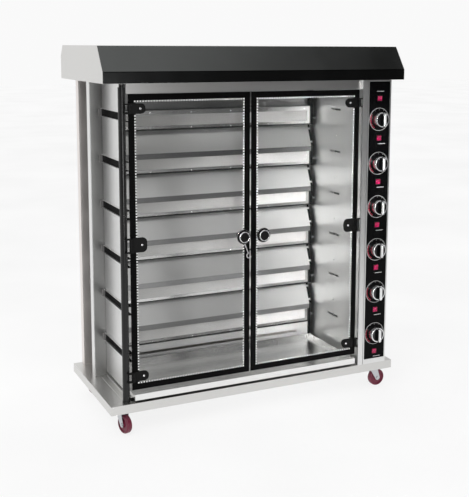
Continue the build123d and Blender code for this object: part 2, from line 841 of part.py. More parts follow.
# Gas pipes: manifold with a boss to each valve, a tail to the rear inlet, and a feed pipe to each burner
manifold_top = knob_levels[0] + manifold_tail / 2
inlet_y = back + inlet_length
valve_right = box_x + valve_width / 2
with BuildPart() as gas_manifold:
    with BuildSketch(Plane.XY.offset(inlet_level)):
        with Locations((manifold_x, manifold_y)):
            Circle(manifold_radius)
    extrude(amount=manifold_top - inlet_level)
    with BuildSketch(seen_from_right(valve_right)):
        with Locations(*[(manifold_y, level) for level in knob_levels]):
            Circle(manifold_boss_radius)
    extrude(amount=manifold_x - valve_right)
    with BuildSketch(facing_front(manifold_x, back + end_play, inlet_level)):
        Circle(manifold_radius)
    extrude(amount=back + end_play - manifold_y)
    with Locations((manifold_x, manifold_y, inlet_level)):
        Sphere(manifold_radius)
    with BuildSketch(facing_front(manifold_x, inlet_y, inlet_level)):
        Circle(inlet_radius)
    extrude(amount=inlet_length - end_play)
    with BuildSketch(facing_front(manifold_x, inlet_y, inlet_level)):
        Circle(manifold_radius - hole_margin)
    extrude(amount=inlet_length, mode=Mode.SUBTRACT)
save(gas_manifold.part, "gas_manifold")

valve_back = valve_front + valve_depth
with BuildPart() as feed_pipes:
    for level in feed_levels:
        with BuildLine():
            FilletPolyline(
                (box_x, valve_back, level),
                (box_x, feed_y, level),
                (burner_right - plaque_margin, feed_y, level),
                radius=feed_pipe_bend,
            )
        with BuildSketch(Plane(origin=(box_x, valve_back, level), x_dir=(1, 0, 0), z_dir=(0, 1, 0))):
            Circle(feed_pipe_radius)
        sweep()
save(feed_pipes.part, "feed_pipes")

# Spit drives: a gear motor on pillars behind each slot, and the socket that it turns
socket_left = right_wall_outer + socket_to_wall
gearbox_left = socket_left + socket_length + gearbox_gap
pillar_reach = gearbox_size / 2 - pillar_inset
with BuildPart() as drive_motors:
    for level in spit_levels:
        with BuildSketch(seen_from_right(gearbox_left)):
            with Locations((spit_y, level)):
                RectangleRounded(gearbox_size, gearbox_size, pillar_inset)
        extrude(amount=gearbox_depth)
        with BuildSketch(seen_from_right(gearbox_left + gearbox_depth)):
            with Locations((spit_y, level)):
                Circle(motor_radius)
        extrude(amount=motor_length)
        with BuildSketch(seen_from_right(box_left + panel_sheet)):
            with Locations((spit_y, level)):
                with GridLocations(2 * pillar_reach, 2 * pillar_reach, 2, 2):
                    Circle(pillar_radius)
        extrude(amount=gearbox_left - box_left - panel_sheet)
        with BuildSketch(seen_from_right(gearbox_left)):
            with Locations((spit_y, level)):
                Circle(drive_shaft_radius + running_gap)
        extrude(amount=drive_shaft_length - gearbox_gap + end_play, mode=Mode.SUBTRACT)
save(drive_motors.part, "drive_motors")

for number, level in enumerate(spit_levels, start=1):
    with BuildPart() as spit_socket:
        with BuildSketch(seen_from_right(socket_left)):
            with Locations((spit_y, level)):
                Circle(socket_radius)
        extrude(amount=socket_length)
        with BuildSketch(seen_from_right(socket_left)):
            with Locations((spit_y, level)):
                Rectangle(socket_square, socket_square)
        extrude(amount=socket_square_depth, mode=Mode.SUBTRACT)
        with BuildSketch(seen_from_right(socket_left + socket_length)):
            with Locations((spit_y, level)):
                Circle(drive_shaft_radius)
        extrude(amount=drive_shaft_length)
    save(spit_socket.part, f"spit_socket_{number}")

# Drip tray: shallow drawer with a folded ledge behind its front, on two folded runners
tray_foot = deck + tray_above_deck
tray_top = tray_foot + tray_height
tray_front = front + tray_front_setback
tray_back = tray_front + tray_depth
tray_wall_top = tray_top - tray_wall_drop
with BuildPart() as drip_tray:
    block((tray_left, tray_right), (tray_front, tray_back), (tray_foot, tray_top))
    block(
        (tray_left + panel_sheet, tray_right - panel_sheet),
        (tray_front + panel_sheet, tray_back - panel_sheet),
        (tray_foot + panel_sheet, tray_top - panel_sheet),
        mode=Mode.SUBTRACT,
    )
    block(
        (tray_left - hole_margin, tray_right + hole_margin),
        (tray_front + tray_ledge, tray_back + hole_margin),
        (tray_wall_top, tray_top + hole_margin),
        mode=Mode.SUBTRACT,
    )
save(drip_tray.part, "drip_tray")

runner_top = deck + runner_height
with BuildPart() as tray_runners:
    for edge, outward in ((tray_left, -1), (tray_right, 1)):
        riser = edge + outward * runner_outset
        with BuildSketch(Plane(origin=(0, wall_front, 0), x_dir=(1, 0, 0), z_dir=(0, -1, 0))):
            with BuildLine():
                Polyline(
                    (riser + outward * runner_foot, deck + panel_sheet / 2),
                    (riser, deck + panel_sheet / 2),
                    (riser, runner_top - panel_sheet / 2),
                    (riser - outward * runner_shelf, runner_top - panel_sheet / 2),
                )
            trace(line_width=panel_sheet)
        extrude(amount=wall_front - wing_face + hole_margin)
save(tray_runners.part, "tray_runners")

# Door hinges: ears and pins on the posts, clamps with barrels on the glass
hinge_levels = (
    (door_top - hinge_end_inset, end_clamp_height),
    (door_middle, middle_clamp_height),
    (door_foot + hinge_end_inset, end_clamp_height),
)
left_pin_x = opening_left + hinge_pin_from_post
right_pin_x = opening_right - hinge_pin_from_post


def barrel_half(clamp_height):
    """Half the length of a hinge barrel, which leaves room for an ear at each end of its clamp."""
    return clamp_height / 2 - hinge_ear_thickness - end_play


with BuildPart() as hinge_ears:
    for pin_x, post_side in ((left_pin_x, post_x), (right_pin_x, opening_right)):
        for level, clamp_height in hinge_levels:
            reach = barrel_half(clamp_height) + end_play
            for ear_foot in (level + reach, level - reach - hinge_ear_thickness):
                with BuildSketch(Plane.XY.offset(ear_foot)):
                    with Locations((pin_x, hinge_y)):
                        Circle(hinge_barrel_radius)
                    with Locations((middle((pin_x, post_side)), hinge_y)):
                        Rectangle(abs(post_side - pin_x), 2 * hinge_barrel_radius)
                extrude(amount=hinge_ear_thickness)
            with BuildSketch(Plane.XY.offset(level - reach)):
                with Locations((pin_x, hinge_y)):
                    Circle(hinge_pin_radius)
            extrude(amount=2 * reach)
    with BuildSketch(Plane.XY.offset(deck)):
        with Locations((post_x, post_y)):
            Circle(post_diameter / 2)
    extrude(amount=wall_top - deck, mode=Mode.SUBTRACT)
save(hinge_ears.part, "hinge_ears")

for name, pin_x, inward in (("left", left_pin_x, 1), ("right", right_pin_x, -1)):
    plate_near = pin_x + inward * (hinge_barrel_radius + free_gap)
    plate_far = pin_x + inward * clamp_length
    plate_length = abs(plate_far - plate_near)
    screw_x = plate_far - inward * clamp_screw_from_end
    with BuildPart() as hinge_clamps:
        for level, clamp_height in hinge_levels:
            half = barrel_half(clamp_height)
            with BuildSketch(facing_front(0, glass_front, 0)):
                with Locations((middle((plate_near, plate_far)), level)):
                    Rectangle(plate_length, clamp_height)
            extrude(amount=clamp_thickness)
            with BuildSketch(Plane.XY.offset(level - half)):
                with Locations((pin_x, hinge_y)):
                    Circle(hinge_barrel_radius)
                with Locations((middle((pin_x, plate_near)), glass_front - clamp_thickness / 2)):
                    Rectangle(abs(plate_near - pin_x), clamp_thickness)
            extrude(amount=2 * half)
            with BuildSketch(facing_front(0, glass_back, 0)):
                with Locations((screw_x, level)):
                    Circle(clamp_screw_radius)
            extrude(amount=glass_thickness)
            with BuildSketch(facing_front(0, glass_back + clamp_thickness, 0)):
                with Locations((screw_x, level)):
                    Circle(clamp_screw_from_end - clamp_thickness)
            extrude(amount=clamp_thickness)
            with BuildSketch(Plane.XY.offset(level - half)):
                with Locations((pin_x, hinge_y)):
                    Circle(hinge_pin_radius + running_gap)
            extrude(amount=2 * half, mode=Mode.SUBTRACT)
        outer = hinge_clamps.edges().filter_by(Axis.Y).group_by(Axis.X)[-1 if inward > 0 else 0]
        fillet(outer, end_clamp_height / 2 - free_gap)
    save(hinge_clamps.part, f"{name}_hinge_clamps")

    glass_left = left_door_left if inward > 0 else right_door_right - door_width
    glass_right = glass_left + door_width
    free_edge = glass_right if inward > 0 else glass_left
    knob_x = free_edge - inward * door_knob_from_edge
    with BuildPart() as door_glass:
        with BuildSketch(facing_front(0, glass_back, 0)):
            with Locations((middle((glass_left, glass_right)), door_middle)):
                Rectangle(door_width, door_top - door_foot)
            with Locations(*[(screw_x, level) for level, clamp_height in hinge_levels]):
                Circle(clamp_screw_radius + end_play, mode=Mode.SUBTRACT)
            with Locations((knob_x, door_middle)):
                Circle(door_knob_stem_radius + end_play, mode=Mode.SUBTRACT)
        extrude(amount=glass_thickness)
    save(door_glass.part, f"{name}_door_glass")

    head_back = glass_front - door_knob_rose_thickness - door_knob_neck_length
    with BuildPart() as door_knob:
        for face_y, radius, length in (
            (glass_front, door_knob_rose_radius, door_knob_rose_thickness),
            (glass_front - door_knob_rose_thickness, door_knob_neck_radius, door_knob_neck_length),
            (head_back, door_knob_radius, door_knob_depth),
            (glass_back, door_knob_stem_radius, glass_thickness),
            (glass_back + door_knob_rose_thickness, door_knob_rose_radius, door_knob_rose_thickness),
        ):
            with BuildSketch(facing_front(knob_x, face_y, door_middle)):
                Circle(radius)
            extrude(amount=length)
        fillet(door_knob.faces().sort_by(Axis.Y)[0].edges(), door_knob_depth / 4)
    save(door_knob.part, f"{name}_door_knob")

# Latch: a flat hook that turns on the left knob's neck and swings up under the right knob's neck
left_knob_x = left_door_left + door_width - door_knob_from_edge
right_knob_x = right_door_right - door_width + door_knob_from_edge
knob_spacing = right_knob_x - left_knob_x
latch_y = glass_front - door_knob_rose_thickness - (door_knob_neck_length - latch_thickness) / 2
latch_eye_radius = door_knob_neck_radius + latch_eye_margin
hook_inner = door_knob_neck_radius + latch_hook_gap
hook_outer = hook_inner + latch_bar_width
latch_droop = radians(latch_rest_angle)
latch_plane = Plane(
    origin=(left_knob_x, latch_y, door_middle),
    x_dir=(cos(latch_droop), 0, -sin(latch_droop)),
    z_dir=(0, -1, 0),
)
with BuildPart() as door_latch:
    with BuildSketch(latch_plane):
        Circle(latch_eye_radius)
        with Locations((knob_spacing / 2, 0)):
            Rectangle(knob_spacing, latch_bar_width)
        with Locations((knob_spacing, 0)):
            Circle(hook_outer)
            Circle(hook_inner, mode=Mode.SUBTRACT)
        with Locations((knob_spacing, hook_outer / 2)):
            Rectangle(2 * hook_inner, hook_outer, mode=Mode.SUBTRACT)
        Circle(door_knob_neck_radius + running_gap, mode=Mode.SUBTRACT)
    extrude(amount=latch_thickness)
save(door_latch.part, "door_latch")

# Canopy: a hollow sheet hood whose soffit rests on the ceiling, with a separate sloped front
canopy_left = -base_width / 2 - canopy_side_overhang
canopy_right = -canopy_left
canopy_front_y = front - canopy_front_overhang
canopy_back_y = rear + canopy_rear_overhang
canopy_top = roof + canopy_band + canopy_slope_rise
slope_back = canopy_front_y + canopy_slope_run
canopy_outline = [
    (canopy_front_y, roof),
    (canopy_front_y, roof + canopy_band),
    (slope_back, canopy_top),
    (canopy_back_y - canopy_rear_run, canopy_top),
    (canopy_back_y, canopy_top - canopy_rear_drop),
    (canopy_back_y, roof),
]
with BuildPart() as canopy_hood:
    with BuildSketch(seen_from_right(canopy_left)):
        with BuildLine():
            Polyline(*canopy_outline, close=True)
        make_face()
    extrude(amount=canopy_right - canopy_left)
    with BuildSketch(seen_from_right(canopy_left + canopy_sheet)):
        with BuildLine():
            Polyline(*canopy_outline, close=True)
        make_face()
        offset(amount=-canopy_sheet, kind=Kind.INTERSECTION, mode=Mode.REPLACE)
    extrude(amount=canopy_right - canopy_left - 2 * canopy_sheet, mode=Mode.SUBTRACT)
    block(
        (wing_left + canopy_seat, box_right - canopy_seat),
        (ceiling_front + canopy_seat, ceiling_back - canopy_seat),
        (roof, roof + canopy_sheet),
        mode=Mode.SUBTRACT,
    )

front_zone = (
    (canopy_left + canopy_sheet, canopy_right - canopy_sheet),
    (canopy_front_y - hole_margin, slope_back),
    (roof - hole_margin, canopy_top + hole_margin),
)
with BuildPart() as canopy_front:
    add(canopy_hood.part)
    block(*front_zone, mode=Mode.INTERSECT)
save(canopy_front.part, "canopy_front")

with BuildPart() as canopy_shell:
    add(canopy_hood.part)
    block(*front_zone, mode=Mode.SUBTRACT)
save(canopy_shell.part, "canopy_shell")
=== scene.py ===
"""Looks of the rotisserie oven: materials, prints, small hardware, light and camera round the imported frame.

Metres. X runs to the right, -Y is the front and Z is up, as in the frame.
"""
from math import cos, pi, radians, sin

import bmesh
import bpy
from mathutils import Matrix, Vector


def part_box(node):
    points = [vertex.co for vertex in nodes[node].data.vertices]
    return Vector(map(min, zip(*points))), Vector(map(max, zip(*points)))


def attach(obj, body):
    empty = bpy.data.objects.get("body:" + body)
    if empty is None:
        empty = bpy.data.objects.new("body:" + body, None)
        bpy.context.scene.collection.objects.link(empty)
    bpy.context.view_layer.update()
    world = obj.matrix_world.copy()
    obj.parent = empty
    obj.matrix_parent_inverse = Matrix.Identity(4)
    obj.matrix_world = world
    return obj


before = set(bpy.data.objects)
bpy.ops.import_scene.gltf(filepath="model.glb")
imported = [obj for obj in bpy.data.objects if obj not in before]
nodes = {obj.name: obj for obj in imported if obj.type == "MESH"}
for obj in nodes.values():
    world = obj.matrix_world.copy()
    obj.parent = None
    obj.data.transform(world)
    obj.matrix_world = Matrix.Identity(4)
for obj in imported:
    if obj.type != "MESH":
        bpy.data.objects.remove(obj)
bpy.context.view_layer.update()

# Spit tiers, each with its own burner and control knob, and switches
TIER_COUNT = 6
SWITCH_COUNT = 7

# Directions that small hardware faces
FRONT = (0, -1, 0)
BACK = (0, 1, 0)
LEFT = (-1, 0, 0)
RIGHT = (1, 0, 0)
DOWN = (0, 0, -1)

# Brushed grain: stretch of the noise for lines along each axis
ALONG_X = (4, 420, 420)
ALONG_Y = (420, 4, 420)
ALONG_Z = (420, 420, 4)
GRAIN_DEPTH = 0.0002
SHEET_HAZE = 0.04

# Printed door border
PRINT = 0.00025
FRIT_WIDTH = 0.03
FRIT_PITCH = 0.011
FRIT_TOOTH = 0.0056
TOOTH_OVERLAP = 0.45

# Printed dials, with angles in degrees, and switch labels with (across, up) offsets
DIAL_RADIUS = 0.049
DIAL_LINE = 0.0015
DIAL_LINE_HEIGHT = 0.0012
TICK_COUNT = 9
FIRST_TICK = -30
TICK_STEP = 30
TICK_WIDTH = 0.001
TICK_OUTER = DIAL_RADIUS - 0.0035
LONG_TICK_EVERY = 4
LONG_TICK = 0.0055
SHORT_TICK = 0.0036
HEAT_INNER = DIAL_RADIUS - 0.0085
HEAT_OUTER = DIAL_RADIUS - 0.004
HEAT_START = 150
HEAT_STEP = 10
HEAT_DOT = 7
HEAT_DOTS = 9
HEAT_DOT_STEPS = 3
LABEL_WIDTH = 0.036
LABEL_HEIGHT = 0.0016
FIRST_LABEL_OFFSET = (0.004, 0.029)
LABEL_OFFSET = (0.014, -0.026)

# Door knob trim, with heights counted from the knob's front
KNOB_BAND = 0.0009
KNOB_OVERLAP = 0.001
RIM_BACK = -0.0075
RIM_FRONT = 0.0006
FLANGE_RADIUS = 0.03
FLANGE_BACK = -0.0165
FLANGE_FRONT = -0.009
FLANGE_BACK_BEVEL = 0.002
FLANGE_FRONT_BEVEL = 0.0015
FLANGE_DOME = 0.0005
FLANGE_EDGE_BACK = -0.0135
FLANGE_EDGE_FRONT = -0.0096

# Control knobs
GRIP_HEIGHT = 0.018
KNOB_FACE_RADIUS = 0.027
POINTER_HALF_WIDTH = 0.0034
POINTER_DROP = 0.022
POINTER_RISE = 0.024
POINTER_SINK = 0.001

# Facets of turned pieces
KNOB_FACETS = 48
CLAMP_SCREW_FACETS = 16
SCREW_FACETS = 14
RIVET_FACETS = 12
BOLT_FACETS = 6

# Fasteners: (radius, height) of each head, and their places
CLAMP_SCREW = (0.0046, 0.0024)
WALL_SCREW = (0.004, 0.0022)
OUTER_SCREW = (0.0042, 0.0022)
RIVET = (0.0036, 0.0018)
BOLT = (0.0048, 0.004)
CLAMP_SCREW_INSET = 0.021
CLAMP_SCREW_LEVEL = 0.02
CLAMP_FRONT = 0.004
WALL_SCREW_DROP = 0.119
OUTER_SCREW_ROWS = 9
OUTER_SCREW_MARGIN = 0.03
COLUMN_SIDE_INSET = 0.014
COLUMN_BACK_INSET = 0.012
BACK_PANEL_INSET = 0.018
BACK_PANEL_SHEET = 0.0015
RIVETS_PER_ROW = 6
RIVET_MARGIN = 0.03
PLATE_CENTRE = 0.031
PLATE_THICKNESS = 0.003
BOLT_OFFSET = 0.024

# Places on the sheet metal that rivets, tones and painted shade follow
BURNER_HEIGHT = 0.086
FRAME_WIDTH = 0.019
WALL_FOLD = 0.003
WING_SETBACK = 0.31025
SLOT_SHADE_DROP = 0.018
SLOT_SHADE_HEIGHT = 0.046
CANOPY_BAND = 0.043
LIP_HEIGHT = 0.0235
LIP_RISE = 0.0065
PORT_PITCH = 0.0045

# Floor: where it turns from dark to pale, front to back, and how brightly it glows
FLOOR_SIZE = 60.0
FLOOR_DARK_TO = -4.2
FLOOR_PALE_FROM = -1.7
FAR_FLOOR_GLOW = 0.04
NEAR_FLOOR_GLOW = 0.81

# Camera: picture size, focal length and principal point in pixels, angles in degrees
IMAGE_SIZE = (469.0, 497.0)
FOCAL_PIXELS = 926.1
PRINCIPAL_POINT = (262.4, 178.0)
CAMERA_PLACE = (-1.642, -3.6062, 1.535)
CAMERA_YAW = 26.193
CAMERA_PITCH = 8.264
CAMERA_ROLL = 0.302
SENSOR_WIDTH = 36.0


def node_box(name):
    """Lowest and highest corner of a node at rest."""
    low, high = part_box(name)
    return Vector(low), Vector(high)


def centre(name):
    """Middle of a node's box at rest."""
    low, high = node_box(name)
    return (low + high) / 2


# Places that materials and pieces are set out from
tier_levels = [centre(f"spit_socket_{number}").z for number in range(1, TIER_COUNT + 1)]
tier_pitch = tier_levels[0] - tier_levels[1]
wall_low = node_box("left_wall")[0]
wing_face = wall_low.y + WING_SETBACK
housing_low, housing_high = node_box("burner_housings")


class Shade:
    """Builds one node material round a Principled shader."""

    def __init__(self, name, color, **constants):
        self.material = bpy.data.materials.new(name)
        self.material.use_nodes = True
        self.tree = self.material.node_tree
        self.shader = self.tree.nodes["Principled BSDF"]
        self.place = self.tree.nodes.new("ShaderNodeTexCoord").outputs["Object"]
        self.shader.inputs["Base Color"].default_value = (*color, 1.0)
        for key, value in constants.items():
            self.shader.inputs[key.replace("_", " ")].default_value = value

    def node(self, kind, inputs=(), **settings):
        """Node of a kind, with its settings, and its inputs set or linked."""
        made = self.tree.nodes.new(kind)
        for key, value in settings.items():
            setattr(made, key, value)
        for key, value in dict(inputs).items():
            if isinstance(value, bpy.types.NodeSocket):
                self.tree.links.new(value, made.inputs[key])
            else:
                made.inputs[key].default_value = value
        return made

    def set(self, socket, value):
        """Link a value to one of the shader's sockets."""
        self.tree.links.new(value, self.shader.inputs[socket])

    def noise(self, scale, detail, stretch=(1, 1, 1)):
        """Cloudy noise, stretched along the axes."""
        mapping = self.node("ShaderNodeMapping", {"Vector": self.place, "Scale": stretch})
        inputs = {"Vector": mapping.outputs[0], "Scale": scale, "Detail": detail}
        return self.node("ShaderNodeTexNoise", inputs).outputs["Fac"]

    def math(self, operation, first, second=0.0, third=0.0):
        """Result of one operation on up to three values."""
        return self.node("ShaderNodeMath", {0: first, 1: second, 2: third}, operation=operation).outputs[0]

    def product(self, *masks):
        """Masks multiplied together."""
        result = masks[0]
        for mask in masks[1:]:
            result = self.math("MULTIPLY", result, mask)
        return result

    def between(self, value, low, high, to_low=0.0, to_high=1.0):
        """Value moved from one range to another and held at its ends."""
        inputs = {"Value": value, "From Min": low, "From Max": high, "To Min": to_low, "To Max": to_high}
        return self.node("ShaderNodeMapRange", inputs).outputs["Result"]

    def blend(self, factor, first, second):
        """Colour between two colours."""
        made = self.node("ShaderNodeMix", data_type="RGBA")
        for index, value in ((0, factor), (6, first), (7, second)):
            if isinstance(value, bpy.types.NodeSocket):
                self.tree.links.new(value, made.inputs[index])
            else:
                made.inputs[index].default_value = (*value, 1.0)
        return made.outputs[2]

    def bump(self, height, strength, distance):
        """Relief of the surface that follows a height."""
        inputs = {"Height": height, "Strength": strength, "Distance": distance}
        self.set("Normal", self.node("ShaderNodeBump", inputs).outputs["Normal"])

    def axis(self, name):
        """One coordinate of the point on the surface."""
        return self.node("ShaderNodeSeparateXYZ", {"Vector": self.place}).outputs[name]

    def above_tier(self, foot):
        """Height above the nearest lower tier, counted from one tier's foot."""
        return self.math("FLOORED_MODULO", self.math("SUBTRACT", self.axis("Z"), foot), tier_pitch)

    def sheet_grain(self, grain):
        """Brushed lines, and the same lines mixed with broad clouds."""
        lines = self.noise(1.0, 4.0, grain)
        clouds = self.noise(2.6, 5.0)
        mixed = self.math("ADD", self.math("MULTIPLY", lines, 0.35), self.math("MULTIPLY", clouds, 0.65))
        return lines, mixed


def scaled(color, factor, lift=0.0):
    """Colour made darker or paler."""
    return tuple(min(1.0, factor * part + lift) for part in color)


def brushed(name, color, rough, grain=ALONG_X, metal=1.0):
    """Stainless sheet with a fine brushed grain, faint clouds and smears."""
    shade = Shade(name, color, Metallic=metal)
    lines, mixed = shade.sheet_grain(grain)
    cloudy = shade.between(mixed, 0.15, 0.85)
    shade.set("Base Color", shade.blend(cloudy, scaled(color, 0.95), scaled(color, 1.03)))
    shade.set("Roughness", shade.between(mixed, 0.1, 0.9, rough - SHEET_HAZE, rough + SHEET_HAZE))
    shade.bump(lines, 0.03, GRAIN_DEPTH)
    return shade.material


def coated(name, color, rough, texture=1400.0, depth=0.06, gloss=0.22):
    """Painted or moulded surface with a fine grain and faint scuffs."""
    shade = Shade(name, color, Specular_IOR_Level=gloss)
    scuffs = shade.noise(9.0, 6.0, (1, 1, 0.4))
    paler = scaled(color, 1.3, 0.001)
    shade.set("Base Color", shade.blend(shade.between(scuffs, 0.45, 0.8), color, paler))
    shade.set("Roughness", shade.between(scuffs, 0.3, 0.75, rough - 0.05, rough + 0.1))
    shade.bump(shade.noise(texture, 2.0), depth, 0.0003)
    return shade.material


def plated(name, color, rough, spread=0.06):
    """Bright plated metal with faint handling marks."""
    shade = Shade(name, color, Metallic=1.0)
    marks = shade.noise(60.0, 4.0)
    shade.set("Base Color", shade.blend(shade.between(marks, 0.3, 0.7), scaled(color, 0.95), color))
    shade.set("Roughness", shade.between(marks, 0.25, 0.75, rough, rough + spread))
    return shade.material


def printed(name, color, rough=0.4, gloss=0.3):
    """Thin screen print with a slightly uneven tone."""
    shade = Shade(name, color, Specular_IOR_Level=gloss)
    ink = shade.noise(400.0, 2.0)
    shade.set("Base Color", shade.blend(ink, scaled(color, 0.88), color))
    shade.set("Roughness", shade.between(ink, 0.3, 0.7, rough - 0.05, rough + 0.08))
    return shade.material


def wall_steel():
    """Brushed left wall, with painted shade: darker wing, dark line along the bend, dark patches behind the
    slots.
    """
    shade = Shade("steel_left", (0.76, 0.76, 0.755), Metallic=1.0)
    lines, mixed = shade.sheet_grain(ALONG_Z)
    cloudy = shade.between(mixed, 0.15, 0.85)
    sheet = shade.blend(cloudy, (0.72, 0.72, 0.715), (0.78, 0.78, 0.775))
    # Painted shade: the wing gets a darker copy of the sheet's tone
    painted_wing_shade = shade.blend(cloudy, (0.32, 0.32, 0.315), (0.38, 0.38, 0.375))
    depth = shade.axis("Y")
    beside = shade.math("GREATER_THAN", shade.axis("X"), wall_low.x + WALL_FOLD)
    wing = shade.product(beside, shade.math("GREATER_THAN", depth, wing_face - 0.0002))
    # Painted shade seen through the slots: dark patches on the wall just behind the wing
    slot_band = shade.math("LESS_THAN", shade.above_tier(tier_levels[-1] - SLOT_SHADE_DROP), SLOT_SHADE_HEIGHT)
    past_wing = shade.between(depth, wing_face + 0.001, wing_face + 0.002)
    fading = shade.between(depth, wing_face + 0.03, wing_face + 0.06, 1.0, 0.0)
    painted_slot_shade = shade.product(beside, slot_band, past_wing, fading)
    # Painted shade along the bend
    painted_bend_shade = shade.math("COMPARE", depth, wing_face - WALL_FOLD, 0.0012)
    tone = shade.blend(painted_slot_shade, shade.blend(wing, sheet, painted_wing_shade), (0.03, 0.03, 0.03))
    shade.set("Base Color", shade.blend(painted_bend_shade, tone, (0.1, 0.1, 0.1)))
    shade.set("Roughness", shade.between(mixed, 0.1, 0.9, 0.29, 0.37))
    shade.bump(lines, 0.03, GRAIN_DEPTH)
    return shade.material


def canopy_coat():
    """Dark satin coat of the canopy, with painted shade making the upright band darker and the crease above
    it darkest.
    """
    shade = Shade("canopy_black", (0.1, 0.104, 0.102), Metallic=1.0)
    fold_level = node_box("canopy_front")[0].z + CANOPY_BAND
    above_fold = shade.math("SUBTRACT", shade.axis("Z"), fold_level)
    scuffs = shade.noise(9.0, 6.0, (1, 1, 0.4))
    slope = shade.blend(shade.between(scuffs, 0.3, 0.8), (0.098, 0.102, 0.1), (0.108, 0.112, 0.11))
    # Painted shade: the upright band below the crease gets a darker copy of the coat, and the crease itself
    # is near black
    coat = shade.blend(shade.between(above_fold, -0.001, 0.001), (0.042, 0.043, 0.043), slope)
    painted_fold_shade = shade.between(shade.math("ABSOLUTE", above_fold), 0.001, 0.002, 1.0, 0.0)
    shade.set("Base Color", shade.blend(painted_fold_shade, coat, (0.006, 0.006, 0.006)))
    shade.set("Roughness", shade.between(scuffs, 0.3, 0.75, 0.2, 0.26))
    shade.bump(shade.noise(1400.0, 2.0), 0.05, 0.0003)
    return shade.material


def knob_chrome():
    """Chrome of the control knobs, with a painted dark reflection on the flat face and on the sides of the
    grip.
    """
    shade = Shade("chrome_with_painted_dark_reflection", (0.8, 0.8, 0.81), Metallic=1.0)
    grip_front = node_box("control_knob_6")[0].y
    body_front = grip_front + GRIP_HEIGHT
    middle = centre("control_knob_6")
    across = shade.math("SUBTRACT", shade.axis("X"), middle.x)
    up = shade.math("SUBTRACT", shade.above_tier(middle.z - tier_pitch / 2), tier_pitch / 2)
    squares = shade.math("ADD", shade.math("MULTIPLY", across, across), shade.math("MULTIPLY", up, up))
    radius = shade.math("SQRT", squares)
    inside = shade.between(radius, KNOB_FACE_RADIUS, KNOB_FACE_RADIUS + 0.001, 1.0, 0.0)
    depth = shade.axis("Y")
    behind_front = shade.between(depth, grip_front + 0.0035, grip_front + 0.0045)
    before_face = shade.between(depth, body_front + 0.0003, body_front + 0.0008, 1.0, 0.0)
    # Painted reflection: the flats round the grip are darkened as if mirroring dark surroundings
    painted_dark_reflection = shade.product(inside, behind_front, before_face)
    marks = shade.noise(60.0, 4.0)
    metal = shade.blend(shade.between(marks, 0.3, 0.7), (0.76, 0.76, 0.77), (0.8, 0.8, 0.81))
    shade.set("Base Color", shade.blend(painted_dark_reflection, metal, (0.05, 0.05, 0.052)))
    shade.set("Roughness", shade.between(marks, 0.25, 0.75, 0.15, 0.19))
    return shade.material


def clear_glass():
    """Toughened glass with a faint haze where it has been wiped."""
    shade = Shade("door_glass_clear", (0.05, 0.055, 0.054), Roughness=0.02, Specular_IOR_Level=0.25)
    wipes = shade.noise(5.0, 5.0, (1, 1, 0.35))
    shade.set("Alpha", shade.between(wipes, 0.15, 0.85, 0.05, 0.07))
    return shade.material


def burner_ceramic():
    """Pale ceramic plaque with rows of fine flame ports, with painted shade making it darker towards the top
    of the oven.
    """
    shade = Shade("burner_ceramic", (0.83, 0.81, 0.76), Roughness=0.85)
    across = shade.math("SINE", shade.math("MULTIPLY", shade.axis("X"), 2 * pi / PORT_PITCH))
    up = shade.math("SINE", shade.math("MULTIPLY", shade.axis("Z"), 2 * pi / PORT_PITCH))
    ports = shade.between(shade.math("MULTIPLY", across, up), 0.35, 0.75)
    clouds = shade.between(shade.noise(7.0, 4.0), 0.35, 0.7)
    lower_plaque_tone = shade.blend(clouds, (0.84, 0.835, 0.82), (0.92, 0.915, 0.9))
    # Painted shade: the plaques turn darker towards the top tiers
    painted_top_shade = shade.blend(clouds, (0.4, 0.397, 0.388), (0.46, 0.456, 0.446))
    high_up = shade.between(shade.axis("Z"), tier_levels[-2], tier_levels[0])
    plaque = shade.blend(high_up, lower_plaque_tone, painted_top_shade)
    shade.set("Base Color", shade.blend(shade.math("MULTIPLY", ports, 0.6), plaque, (0.12, 0.117, 0.11)))
    shade.bump(ports, -0.5, 0.001)
    return shade.material


def housing_steel():
    """Bright burner frame with painted shade: a dark edge along its foot and at its ends."""
    shade = Shade("steel_housing", (0.84, 0.84, 0.83), Metallic=1.0)
    lines = shade.noise(1.0, 4.0, ALONG_X)
    sheet = shade.blend(shade.between(lines, 0.2, 0.8), (0.8, 0.8, 0.79), (0.86, 0.86, 0.85))
    middle = (housing_low.x + housing_high.x) / 2
    half_length = (housing_high.x - housing_low.x) / 2
    from_middle = shade.math("ABSOLUTE", shade.math("SUBTRACT", shade.axis("X"), middle))
    # Painted shade: a dark shadow line along the foot of each frame, and dark ends
    foot = shade.between(shade.above_tier(housing_low.z), 0.006, 0.008, 1.0, 0.0)
    end = shade.between(from_middle, half_length - 0.007, half_length - 0.005)
    shade.set("Base Color", shade.blend(shade.math("MAXIMUM", foot, end), sheet, (0.07, 0.07, 0.07)))
    shade.set("Roughness", shade.between(lines, 0.2, 0.8, 0.2, 0.28))
    shade.bump(lines, 0.03, GRAIN_DEPTH)
    return shade.material


